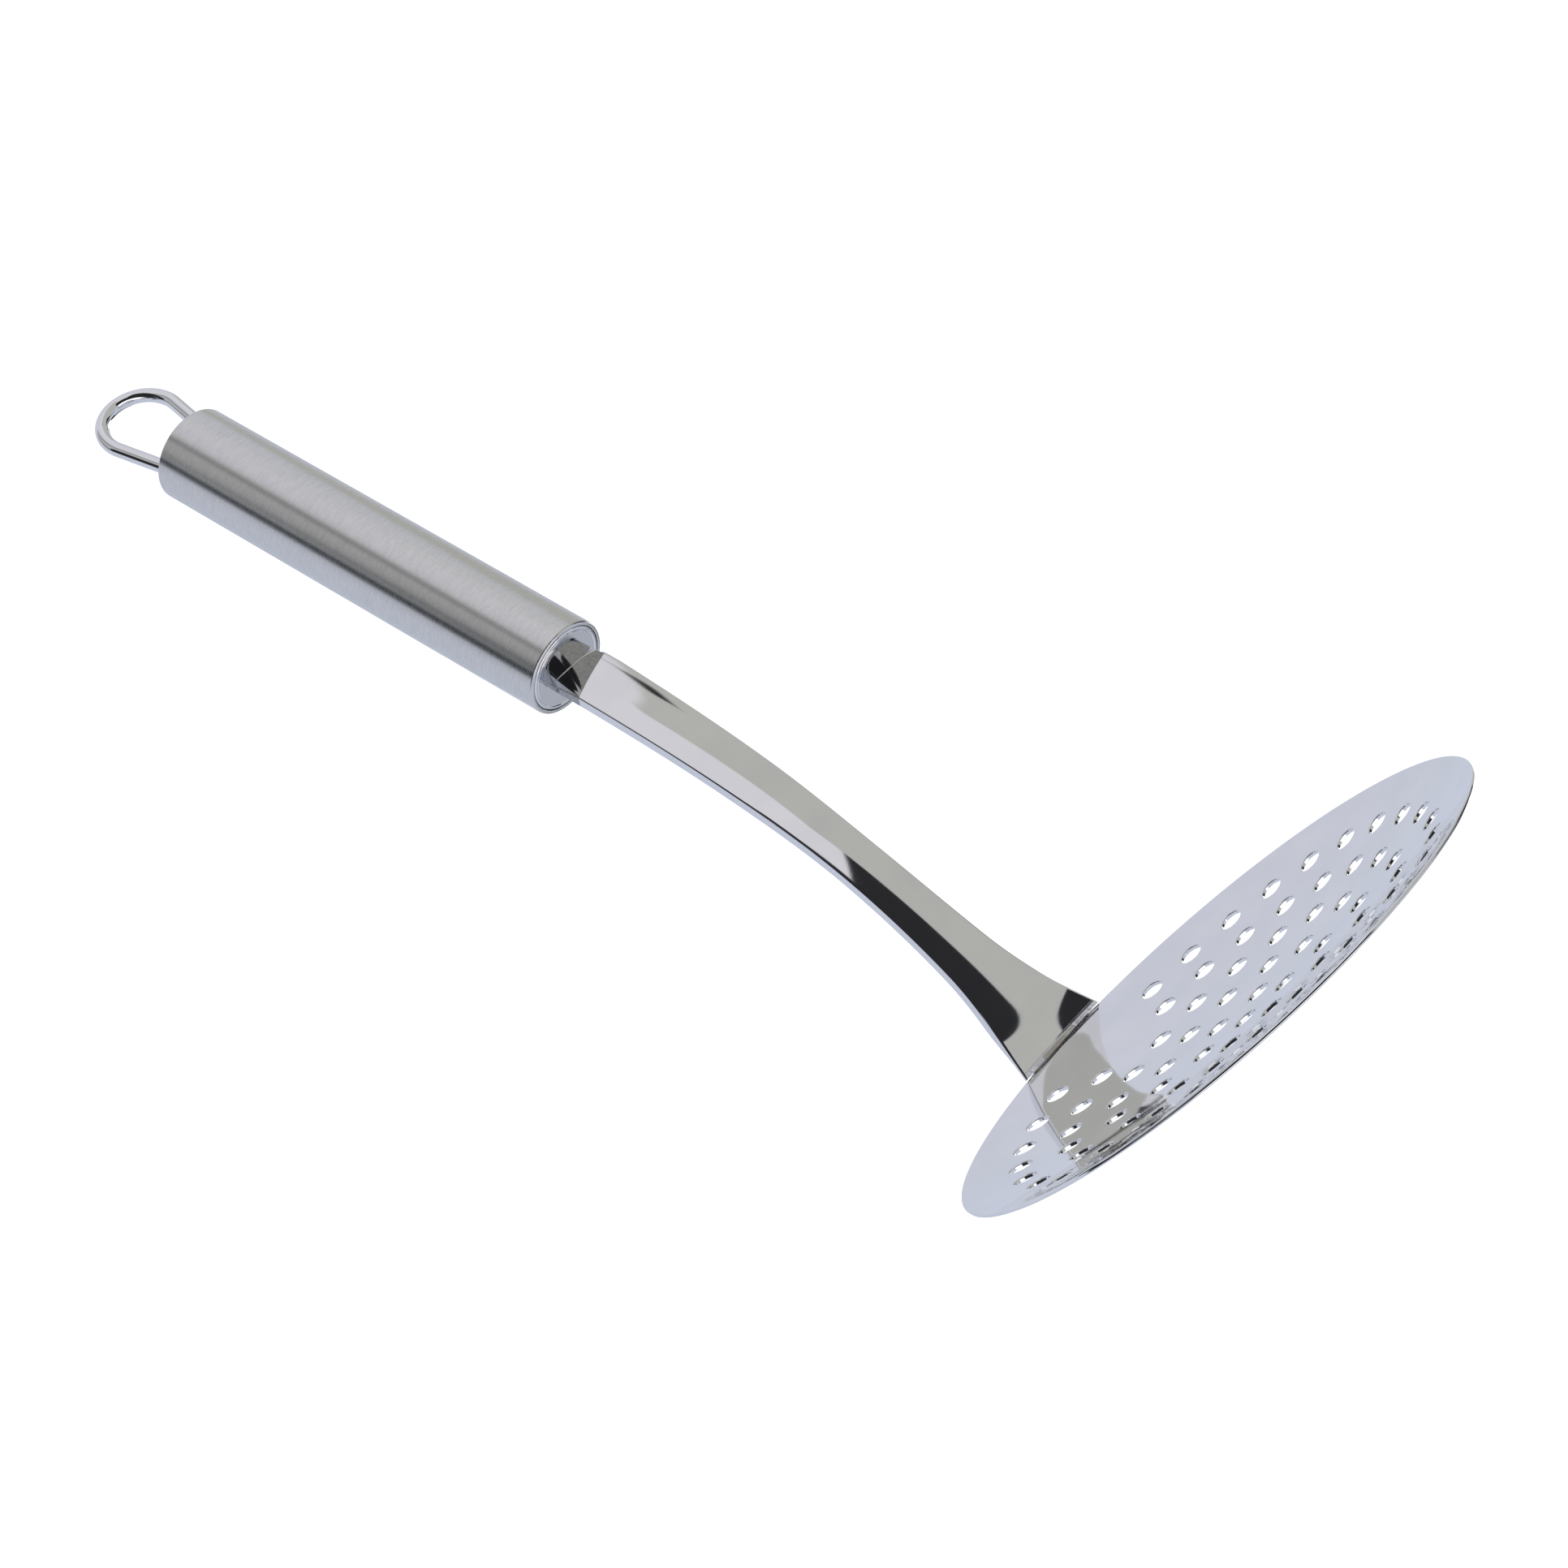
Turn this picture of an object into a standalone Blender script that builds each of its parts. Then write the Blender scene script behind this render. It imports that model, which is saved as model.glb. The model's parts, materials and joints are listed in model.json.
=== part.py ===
"""Perforated dish masher, all stainless steel: a shallow round dish full of punched holes, a
tapered shank that rises from its rim, and a tubular handle with a wire hanging loop.

The dish lies level with its open side up, the handle rises towards -X, and the tool is the
same on both sides of the plane y = 0. Lengths are metres, +Z is up, and the origin is at the
middle of the tool's footprint, at the lowest point of the dish."""

import math

import bmesh
import bpy
from mathutils import Matrix, Vector

MM = 0.001
GAP = 0.3 * MM                      # between two pieces that are welded together
CORNER_CUT = 1 - math.sqrt(0.5)     # a round corner's middle, from its square, per radius

# dish: a spherical pressing with rings of punched holes
DISH_RADIUS = 52.0 * MM             # inner edge of the rim
DISH_DEPTH = 7.8 * MM
DISH_SHEET = 0.7 * MM
DISH_STEPS = 64
DISH_RADIAL_STEPS = 6
HOLE_RADIUS = 2.0 * MM
HOLE_SIDES = 12
PUNCH_LENGTH = 4.2 * MM
RING_PITCH = 8.38 * MM
RING_COUNT = 5                      # ring k has 6 k holes
LEFT_OUT = {(4, 0), (5, 0), (5, 29)}    # no holes where the shank's foot is welded on

# handle: its axis leaves point HANDLE_START and leans back from the vertical
HANDLE_LEAN = math.radians(37.3)
HANDLE_START = Vector((-95.7 * MM, 0.0, 100.0 * MM))    # from the middle of the rim plane
TUBE_RADIUS = 9.0 * MM
TUBE_WALL = 0.8 * MM
TUBE_FRONT = 0.9 * MM
TUBE_REAR = 92.6 * MM
TUBE_EDGE = 0.5 * MM                # rounding of the tube's front end
TUBE_REAR_EDGE = 0.1 * MM
CAP_RADIUS = TUBE_RADIUS - TUBE_WALL - GAP
CAP_WALL = 1.0 * MM
CAP_DEPTH = 8.0 * MM
CAP_EDGE = 0.6 * MM
REAR_CAP_INSET = 0.3 * MM
ROUND_STEPS = 48

# neck: the D-shaped stub on the front cap and the shank's end, which meet at a raked seam
NECK_HALF_WIDTH = 5.4 * MM
NECK_SIDE = 2.4 * MM                # straight side of the D, above the handle's axis
NECK_CROWN = 3.1 * MM
NECK_SEAM = 0.9 * MM                # seam's distance from the cap at the flat of the D
NECK_RAKE = 0.55                    # how much further forward the seam is, per height
NECK_LENGTH = 7.0 * MM              # from the cap's face to the bend where the strip begins

# shank: a crowned strip on a curve that leaves the rim almost upright
FOOT_X = -51.7 * MM
FOOT_LEAN = math.radians(10.3)
STRIP_LEAN = math.radians(34.3)
FOOT_PULL = 44.0 * MM
STRIP_PULL = 45.0 * MM
FOOT_THICKNESS = 1.0 * MM
STRIP_CROWN = 0.5 * MM
THICKENING_HEIGHT = 0.11            # share of the strip's height where it is full thickness
STRIP_STATIONS = 26
# (share of the strip's height, half width): flared foot, waist, neck
STRIP_WIDTHS = (
    (0.00, 9.9 * MM),
    (0.11, 6.95 * MM),
    (0.22, 5.25 * MM),
    (0.46, 4.35 * MM),
    (0.70, 4.80 * MM),
    (1.00, 5.40 * MM),
)

# hanging loop: round wire, two legs through the rear cap and a round bow
WIRE_RADIUS = 1.35 * MM
LEG_SPREAD = 5.2 * MM
LEG_INSIDE = 5.0 * MM
BOW_RADIUS = 7.5 * MM
BOW_CENTRE = 14.0 * MM              # behind the rear cap's face
LEG_HOLE_RADIUS = WIRE_RADIUS + GAP
LEG_HOLE_SIDES = 16
LEG_DRILL_LENGTH = 4.0 * MM

WELD_RADIUS = 0.5 * MM
FOOT_WELD_SHARE = 0.85              # of the foot's width that the bead under it covers
NECK_WELD_SHARE = 0.80

DISH_SPHERE = (DISH_RADIUS**2 + DISH_DEPTH**2) / (2 * DISH_DEPTH)
RIM_Z = DISH_DEPTH + DISH_SHEET
BACK = Vector((-math.sin(HANDLE_LEAN), 0.0, math.cos(HANDLE_LEAN)))
LOOP_REACH = TUBE_REAR - REAR_CAP_INSET + BOW_CENTRE
REAR_X = HANDLE_START.x + BACK.x * LOOP_REACH - BOW_RADIUS * abs(BACK.x) - WIRE_RADIUS
DISH_X = -(REAR_X + DISH_RADIUS) / 2
RIM_CENTRE = Vector((DISH_X, 0.0, RIM_Z))
HANDLE_MATRIX = Matrix.Translation(RIM_CENTRE + HANDLE_START) @ Matrix.Rotation(
    -HANDLE_LEAN, 4, "Y"
)


def clear_scene():
    for obj in list(bpy.data.objects):
        bpy.data.objects.remove(obj, do_unlink=True)


def new_collection(name):
    collection = bpy.data.collections.new(name)
    bpy.context.scene.collection.children.link(collection)
    return collection


def steel(name, colour, roughness):
    material = bpy.data.materials.new(name)
    material.use_nodes = True
    shader = material.node_tree.nodes["Principled BSDF"]
    shader.inputs["Base Color"].default_value = (*colour, 1.0)
    shader.inputs["Roughness"].default_value = roughness
    shader.inputs["Metallic"].default_value = 1.0
    return material


def place(name, mesh, collection, material=None, matrix=None):
    """An object of the mesh, in the collection, placed by the matrix."""
    obj = bpy.data.objects.new(name, mesh)
    collection.objects.link(obj)
    if matrix is not None:
        obj.matrix_world = matrix
    if material is not None:
        mesh.materials.append(material)
    return obj


def smooth(obj, angle=35.0):
    obj.data.shade_smooth()
    obj.data.set_sharp_from_angle(angle=math.radians(angle))


def turned(name, profile, steps, collection, material=None, matrix=None):
    """A profile of (radius, height) points turned about Z. The profile runs up its inner
    side and down its outer side."""
    mesh = bpy.data.meshes.new(name)
    count = len(profile)
    closed = profile[0][0] > 0
    edges = [(i, i + 1) for i in range(count - 1)] + ([(count - 1, 0)] if closed else [])
    mesh.from_pydata([(r, 0.0, z) for r, z in profile], edges, [])
    obj = place(name, mesh, collection, material, matrix)
    screw = obj.modifiers.new("Turn", "SCREW")
    screw.steps = steps
    screw.render_steps = steps
    screw.use_merge_vertices = True
    screw.merge_threshold = 0.00001
    screw.use_smooth_shade = True
    weld = obj.modifiers.new("Weld", "WELD")
    weld.merge_threshold = 0.00001
    return obj


def subtract(obj, cutter, name):
    boolean = obj.modifiers.new(name, "BOOLEAN")
    boolean.operation = "DIFFERENCE"
    boolean.solver = "EXACT"
    boolean.object = cutter
    hide_guide(cutter)


def hide_guide(obj):
    obj.hide_render = True
    obj.display_type = "WIRE"


def loft(name, sections, collection, material=None, matrix=None):
    """A closed skin over rings of points, with a flat end on the first and last ring."""
    shape = bmesh.new()
    rings = [[shape.verts.new(point) for point in section] for section in sections]
    for low, high in zip(rings, rings[1:]):
        for i in range(len(low)):
            j = (i + 1) % len(low)
            shape.faces.new((low[i], low[j], high[j], high[i]))
    shape.faces.new(list(reversed(rings[0])))
    shape.faces.new(rings[-1])
    bmesh.ops.recalc_face_normals(shape, faces=shape.faces)
    mesh = bpy.data.meshes.new(name)
    shape.to_mesh(mesh)
    shape.free()
    return place(name, mesh, collection, material, matrix)


def wire(name, points, radius, collection, material, matrix=None):
    """A round wire through the points, with filled ends."""
    curve = bpy.data.curves.new(name, "CURVE")
    curve.dimensions = "3D"
    curve.bevel_depth = radius
    curve.bevel_resolution = 2
    curve.use_fill_caps = True
    spline = curve.splines.new("POLY")
    spline.points.add(len(points) - 1)
    for knot, point in zip(spline.points, points):
        knot.co = (*point, 1.0)
    return place(name, curve, collection, material, matrix)


# ---- dish ---------------------------------------------------------------------------------


def dish_profile():
    """Inner side from the middle to the rim, then the outer side back to the middle."""
    centre_z = DISH_SHEET + DISH_SPHERE
    rim_angle = math.asin(DISH_RADIUS / DISH_SPHERE)
    angles = [rim_angle * i / DISH_RADIAL_STEPS for i in range(DISH_RADIAL_STEPS + 1)]
    points = []
    for radius, run in (
        (DISH_SPHERE, angles),
        (DISH_SPHERE + DISH_SHEET, reversed(angles)),
    ):
        for angle in run:
            points.append((radius * math.sin(angle), centre_z - radius * math.cos(angle)))
    return points


def hole_places():
    """(distance from the dish's axis, angle about it) of every punched hole."""
    places = [(0.0, 0.0)]
    for ring in range(1, RING_COUNT + 1):
        count = 6 * ring
        turn = 0.5 if ring == RING_COUNT else 0.0
        for i in range(count):
            if (ring, i) not in LEFT_OUT:
                places.append((ring * RING_PITCH, math.pi + math.tau * (i + turn) / count))
    return places


def punches(collection):
    """One mesh of all the round punches, each square to the sheet where it goes through."""
    shape = bmesh.new()
    sphere_centre = Vector((0.0, 0.0, DISH_SHEET + DISH_SPHERE))
    for distance, angle in hole_places():
        slope = math.asin(distance / DISH_SPHERE)
        tilt = Matrix.Rotation(angle, 4, "Z") @ Matrix.Rotation(-slope, 4, "Y")
        reach = Matrix.Translation((0.0, 0.0, -DISH_SPHERE - DISH_SHEET / 2))
        bmesh.ops.create_cone(
            shape,
            cap_ends=True,
            segments=HOLE_SIDES,
            radius1=HOLE_RADIUS,
            radius2=HOLE_RADIUS,
            depth=PUNCH_LENGTH,
            matrix=Matrix.Translation(sphere_centre) @ tilt @ reach,
        )
    mesh = bpy.data.meshes.new("punches")
    shape.to_mesh(mesh)
    shape.free()
    return place("punches", mesh, collection, matrix=Matrix.Translation((DISH_X, 0, 0)))


def make_dish(parts, cutters, material):
    matrix = Matrix.Translation((DISH_X, 0.0, 0.0))
    dish = turned("dish", dish_profile(), DISH_STEPS, parts, material, matrix)
    subtract(dish, punches(cutters), "Punched holes")


# ---- shank --------------------------------------------------------------------------------


def d_outline(half_width, side, crown):
    """(across, height) points of a crowned strip: a flat back at height 0, straight sides
    and an elliptical face."""
    arc = 8
    points = [(-half_width, 0.0), (half_width, 0.0)]
    for i in range(arc + 1):
        angle = math.pi * i / arc
        points.append((half_width * math.cos(angle), side + crown * math.sin(angle)))
    return points


def half_width_at(share):
    """Half width of the strip at a share of its height, smooth through STRIP_WIDTHS."""
    knots = STRIP_WIDTHS
    last = len(knots) - 1
    slopes = []
    for i in range(len(knots)):
        before, after = knots[max(i - 1, 0)], knots[min(i + 1, last)]
        slopes.append((after[1] - before[1]) / (after[0] - before[0]))
    for i in range(last):
        (s0, w0), (s1, w1) = knots[i], knots[i + 1]
        if share <= s1 or i == last - 1:
            span = s1 - s0
            u = min(max((share - s0) / span, 0.0), 1.0)
            rise = u * u * (3 - 2 * u)
            lead_in = slopes[i] * span * u * (1 - u) ** 2
            lead_out = slopes[i + 1] * span * u * u * (1 - u)
            return w0 + (w1 - w0) * rise + lead_in - lead_out
    return knots[last][1]


def strip_curve(t):
    """Point and direction, at t from 0 to 1, of the line midway between the strip's edges."""
    bend = HANDLE_MATRIX @ Vector((NECK_SIDE, 0.0, -NECK_LENGTH))
    start = RIM_CENTRE + Vector((FOOT_X, 0.0, GAP))
    out = Vector((-math.sin(FOOT_LEAN), 0.0, math.cos(FOOT_LEAN)))
    into = Vector((-math.sin(STRIP_LEAN), 0.0, math.cos(STRIP_LEAN)))
    p0, p1, p2, p3 = start, start + out * FOOT_PULL, bend - into * STRIP_PULL, bend
    s = 1 - t
    point = s**3 * p0 + 3 * s * s * t * p1 + 3 * s * t * t * p2 + t**3 * p3
    direction = s * s * (p1 - p0) + 2 * s * t * (p2 - p1) + t * t * (p3 - p2)
    return point, direction.normalized()


def strip_section(t):
    """The ring of points round the strip at t."""
    middle, along = strip_curve(t)
    facing = Vector((along.z, 0.0, -along.x))
    start, end = strip_curve(0.0)[0].z, strip_curve(1.0)[0].z
    share = (middle.z - start) / (end - start)
    thickening = min(share / THICKENING_HEIGHT, 1.0)
    side = FOOT_THICKNESS + (NECK_SIDE - FOOT_THICKNESS) * thickening
    half_width = half_width_at(share)
    ring = []
    for across, height in d_outline(half_width, side, STRIP_CROWN * thickening):
        curl = (1 - thickening) * across**2 / (2 * DISH_RADIUS)    # follows the round rim
        ring.append(middle + Vector((0, across, 0)) + facing * (height - side + curl))
    return ring


def neck_section(forward, crown, rake=0.0):
    """A ring in the handle's own frame, forward of the cap's face, square to the handle or
    raked forward with height."""
    outline = d_outline(NECK_HALF_WIDTH, NECK_SIDE, crown)
    return [Vector((height, across, -forward - rake * height)) for across, height in outline]


def make_shank(parts, material):
    sections = [strip_section(i / STRIP_STATIONS) for i in range(STRIP_STATIONS)]
    bend = neck_section(NECK_LENGTH, STRIP_CROWN)
    seam = neck_section(NECK_SEAM + GAP, NECK_CROWN, NECK_RAKE)
    sections += [[HANDLE_MATRIX @ point for point in ring] for ring in (bend, seam)]
    smooth(loft("shank", sections, parts, material))


# ---- handle -------------------------------------------------------------------------------


def make_tube(parts, material):
    inner, outer = TUBE_RADIUS - TUBE_WALL, TUBE_RADIUS
    profile = [
        (inner, TUBE_FRONT),
        (inner, TUBE_REAR),
        (outer - TUBE_REAR_EDGE, TUBE_REAR),
        (outer, TUBE_REAR - TUBE_REAR_EDGE),
        (outer, TUBE_FRONT + TUBE_EDGE),
        (outer - CORNER_CUT * TUBE_EDGE, TUBE_FRONT + CORNER_CUT * TUBE_EDGE),
        (outer - TUBE_EDGE, TUBE_FRONT),
    ]
    return turned("handle_tube", profile, ROUND_STEPS, parts, material, HANDLE_MATRIX)


def cup_profile(face):
    """A cap turned like a cup: its face is at height 0 and its skirt runs away from it, to
    positive heights when face is 1 and to negative ones when face is -1."""
    inner = CAP_RADIUS - CAP_WALL
    points = [
        (0.0, 0.0),
        (CAP_RADIUS - CAP_EDGE, 0.0),
        (CAP_RADIUS - CORNER_CUT * CAP_EDGE, CORNER_CUT * CAP_EDGE),
        (CAP_RADIUS, CAP_EDGE),
        (CAP_RADIUS, CAP_DEPTH),
        (inner, CAP_DEPTH),
        (inner, CAP_WALL),
        (0.0, CAP_WALL),
    ]
    if face > 0:
        return list(reversed(points))
    return [(radius, -height) for radius, height in points]


def make_front_cap(parts, cutters, material):
    cap = turned("front_cap", cup_profile(1), ROUND_STEPS, parts, material, HANDLE_MATRIX)
    root = neck_section(-CAP_WALL / 2, NECK_CROWN)
    tip = neck_section(NECK_SEAM, NECK_CROWN, NECK_RAKE)
    stub = loft("neck_stub", [root, tip], cutters, matrix=HANDLE_MATRIX)
    join = cap.modifiers.new("Neck stub", "BOOLEAN")
    join.operation = "UNION"
    join.solver = "EXACT"
    join.object = stub
    hide_guide(stub)


def rear_face():
    return HANDLE_MATRIX @ Matrix.Translation((0.0, 0.0, TUBE_REAR - REAR_CAP_INSET))


def make_rear_cap(parts, cutters, material):
    cap = turned("rear_cap", cup_profile(-1), ROUND_STEPS, parts, material, rear_face())
    for side in (-1, 1):
        shape = bmesh.new()
        bmesh.ops.create_cone(
            shape,
            cap_ends=True,
            segments=LEG_HOLE_SIDES,
            radius1=LEG_HOLE_RADIUS,
            radius2=LEG_HOLE_RADIUS,
            depth=LEG_DRILL_LENGTH,
        )
        mesh = bpy.data.meshes.new("leg_drill")
        shape.to_mesh(mesh)
        shape.free()
        spot = rear_face() @ Matrix.Translation((0.0, side * LEG_SPREAD, 0.0))
        subtract(cap, place("leg_drill", mesh, cutters, matrix=spot), "Leg hole")


def loop_path():
    """Up one leg, round the bow and down the other, in the rear cap's frame."""
    distance = math.hypot(LEG_SPREAD, BOW_CENTRE)
    meet = math.atan2(BOW_CENTRE, LEG_SPREAD) - math.acos(BOW_RADIUS / distance)
    bow_steps = 20
    first, last = -meet, math.pi + meet
    half = [Vector((0, LEG_SPREAD, -LEG_INSIDE)), Vector((0, LEG_SPREAD, 0.0))]
    bow = []
    for i in range(bow_steps + 1):
        angle = first + (last - first) * i / bow_steps
        across, along = BOW_RADIUS * math.cos(angle), BOW_RADIUS * math.sin(angle)
        bow.append(Vector((0, across, BOW_CENTRE + along)))
    mirrored = [Vector((0, -point.y, point.z)) for point in reversed(half)]
    return half + bow + mirrored


def make_loop(parts, material):
    wire("hanging_loop", loop_path(), WIRE_RADIUS, parts, material, rear_face())


# ---- weld beads ---------------------------------------------------------------------------


def make_foot_weld(parts, material):
    """A bead along the outside of the rim, under the back of the shank's foot."""
    rim_edge = DISH_RADIUS * (1 + DISH_SHEET / DISH_SPHERE)
    radius = rim_edge + GAP + WELD_RADIUS
    half_angle = FOOT_WELD_SHARE * STRIP_WIDTHS[0][1] / DISH_RADIUS
    steps = 12
    points = []
    for i in range(steps + 1):
        angle = math.pi - half_angle + 2 * half_angle * i / steps
        spot = Vector((radius * math.cos(angle), radius * math.sin(angle), -WELD_RADIUS))
        points.append(RIM_CENTRE + spot)
    wire("foot_weld", points, WELD_RADIUS, parts, material)


def make_neck_weld(parts, material):
    """A bead across the flat back of the neck, under the seam."""
    depth = -(GAP + WELD_RADIUS)
    reach = NECK_WELD_SHARE * NECK_HALF_WIDTH
    ahead = -(NECK_SEAM + GAP / 2)
    points = [Vector((depth, reach * side, ahead)) for side in (-1, 0, 1)]
    wire("neck_weld", points, WELD_RADIUS, parts, material, HANDLE_MATRIX)


def main():
    clear_scene()
    parts = new_collection("dish_masher")
    cutters = new_collection("dish_masher_cutters")
    polished = steel("polished_steel", (0.78, 0.79, 0.82), 0.06)
    satin = steel("satin_steel", (0.60, 0.60, 0.60), 0.35)
    bead = steel("weld_bead", (0.55, 0.54, 0.52), 0.30)
    make_dish(parts, cutters, polished)
    make_shank(parts, polished)
    make_front_cap(parts, cutters, polished)
    make_tube(parts, satin)
    make_rear_cap(parts, cutters, polished)
    make_loop(parts, polished)
    make_foot_weld(parts, bead)
    make_neck_weld(parts, bead)


main()
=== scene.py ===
"""Looks of the perforated dish masher: polished dish, shank, caps and loop, satin handle."""

import json
import math

import bpy
from mathutils import Matrix, Vector
from mathutils.geometry import delaunay_2d_cdt


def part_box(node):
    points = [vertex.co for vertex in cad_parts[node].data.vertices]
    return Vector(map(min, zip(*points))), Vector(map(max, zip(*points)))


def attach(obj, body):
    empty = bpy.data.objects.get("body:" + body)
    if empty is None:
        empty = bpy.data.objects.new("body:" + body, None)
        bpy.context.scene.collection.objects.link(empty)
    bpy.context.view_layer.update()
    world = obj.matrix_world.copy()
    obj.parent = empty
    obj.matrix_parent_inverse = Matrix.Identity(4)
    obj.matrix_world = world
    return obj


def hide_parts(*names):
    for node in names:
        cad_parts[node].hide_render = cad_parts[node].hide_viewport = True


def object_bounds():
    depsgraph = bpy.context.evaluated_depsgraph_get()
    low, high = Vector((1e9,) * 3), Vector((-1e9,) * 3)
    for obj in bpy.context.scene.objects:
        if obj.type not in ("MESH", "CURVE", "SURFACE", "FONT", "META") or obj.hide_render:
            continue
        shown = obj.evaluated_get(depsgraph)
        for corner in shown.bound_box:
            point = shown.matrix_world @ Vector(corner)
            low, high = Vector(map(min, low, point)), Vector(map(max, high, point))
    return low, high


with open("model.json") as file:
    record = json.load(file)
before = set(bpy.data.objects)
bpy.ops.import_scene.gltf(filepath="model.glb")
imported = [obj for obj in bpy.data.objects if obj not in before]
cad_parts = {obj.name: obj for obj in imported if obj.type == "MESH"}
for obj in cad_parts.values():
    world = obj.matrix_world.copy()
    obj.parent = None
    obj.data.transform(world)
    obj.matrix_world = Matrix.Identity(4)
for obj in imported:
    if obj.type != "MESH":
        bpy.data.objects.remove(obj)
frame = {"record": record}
CAD_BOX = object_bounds()

# ---- Dish ---------------------------------------------------------------------------------
# The head that presses and drains: a round blank of stainless sheet, punched flat with rings
# of round holes, then pressed into a shallow dish. The holes' and the rim's edges are broken
# and the whole of it is mirror polished, which leaves the sheet very slightly wavy.

MM = 0.001
SHEET = 0.7 * MM
RIM_RADIUS = 52.0 * MM
DISH_DEPTH = 7.8 * MM
HOLE_RADIUS = 2.0 * MM
RING_PITCH = 8.38 * MM
RINGS = 5                               # ring k has 6 k holes
UNDER_FOOT = {(4, 0), (5, 0), (5, 29)}  # not punched: the shank is welded on here
PUNCH_ROLL = 0.22 * MM                  # soft edge on the side where the punch goes in
PUNCH_BREAK = 0.08 * MM
RIM_ROLL = 0.30 * MM
GRID_STEP = 2.0 * MM
HOLE_STEPS = 32
RIM_STEPS = 256

dish_low, dish_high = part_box("dish")
SPHERE = (RIM_RADIUS**2 + DISH_DEPTH**2) / (2 * DISH_DEPTH)
SPHERE_CENTRE = Vector(((dish_low.x + dish_high.x) / 2, 0.0, dish_low.z + SHEET + SPHERE))
RIM_CENTRE = Vector((SPHERE_CENTRE.x, 0.0, dish_low.z + SHEET + DISH_DEPTH))
BLANK_RADIUS = SPHERE * math.asin(RIM_RADIUS / SPHERE)


def join_patches(name, patches, materials, matrix=None):
    """One mesh from smooth patches of (points, normals, faces): points that coincide are
    shared, and every patch keeps its own exact surface normals. A fourth value in a patch
    is the number of its material."""
    index, points, faces, corner_normals, finishes = {}, [], [], [], []
    for patch_points, patch_normals, patch_faces, *finish in patches:
        numbers = []
        for point in patch_points:
            key = tuple(round(value * 1e7) for value in point)
            if key not in index:
                index[key] = len(points)
                points.append(point)
            numbers.append(index[key])
        for face in patch_faces:
            corners = []
            for i in face:
                if numbers[i] not in [numbers[j] for j in corners]:
                    corners.append(i)
            if len(corners) < 3:
                continue
            a, b, c = (patch_points[corners[k]] for k in (0, 1, -1))
            facing = sum((patch_normals[i] for i in corners), Vector())
            if (b - a).cross(c - a).dot(facing) < 0:
                corners.reverse()
            faces.append([numbers[i] for i in corners])
            finishes.append(finish[0] if finish else 0)
            corner_normals += [patch_normals[i] for i in corners]
    mesh = bpy.data.meshes.new(name)
    mesh.from_pydata(points, [], faces)
    mesh.shade_smooth()
    mesh.normals_split_custom_set(corner_normals)
    for material in materials:
        mesh.materials.append(material)
    mesh.polygons.foreach_set("material_index", finishes)
    piece = bpy.data.objects.new(name, mesh)
    bpy.context.scene.collection.objects.link(piece)
    if matrix is not None:
        piece.matrix_world = matrix
    return piece


def grid(rows, closed=False):
    """A patch over rows of (point, normal); closed joins each row's end to its start."""
    width = len(rows[0])
    faces = []
    for r in range(len(rows) - 1):
        for c in range(width if closed else width - 1):
            d = (c + 1) % width
            faces.append((r * width + c, r * width + d, (r + 1) * width + d, (r + 1) * width + c))
    flat = [pair for row in rows for pair in row]
    return [p for p, n in flat], [n for p, n in flat], faces


def pressed(flat, depth):
    """Where a point of the flat blank is after pressing, and which way is up out of the dish
    there; depth goes from 0 on the inside to SHEET on the outside."""
    reach = flat.length
    slope = reach / SPHERE
    side = flat / reach if reach > 0 else Vector((0.0, 0.0))
    out = Vector((side.x * math.sin(slope), side.y * math.sin(slope), -math.cos(slope)))
    return SPHERE_CENTRE + out * (SPHERE + depth), -out


def hole_centres():
    """Middle of each punched hole on the flat blank."""
    centres = [Vector((0.0, 0.0))]
    for ring in range(1, RINGS + 1):
        turn = 0.5 if ring == RINGS else 0.0
        reach = SPHERE * math.asin(ring * RING_PITCH / SPHERE)
        for i in range(6 * ring):
            if (ring, i) not in UNDER_FOOT:
                angle = math.pi + math.tau * (i + turn) / (6 * ring)
                centres.append(Vector((reach * math.cos(angle), reach * math.sin(angle))))
    return centres


def edge_wall(middle, radius, steps, side, roll, break_edge):
    """The cut edge round a hole (side -1) or round the rim (side 1), rolled over at the top
    and broken at the bottom."""
    arc = [math.pi / 2 * i / 4 for i in range(5)]
    profile = [(roll * (1 - math.sin(a)), roll * (1 - math.cos(a)), a) for a in arc]
    profile += [
        (break_edge * (1 - math.sin(a)), SHEET - break_edge * (1 - math.cos(a)), math.pi - a)
        for a in reversed(arc)
    ]
    rows = []
    for back, depth, tilt in profile:
        row = []
        for i in range(steps):
            angle = math.tau * i / steps
            away = Vector((math.cos(angle), math.sin(angle)))
            flat = middle + away * (radius - side * back)
            point, up = pressed(flat, depth)
            outward = (pressed(flat + away * 0.1 * MM, depth)[0] - point).normalized()
            row.append((point, outward * side * math.sin(tilt) + up * math.cos(tilt)))
        rows.append(row)
    return grid(rows, closed=True)


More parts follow.
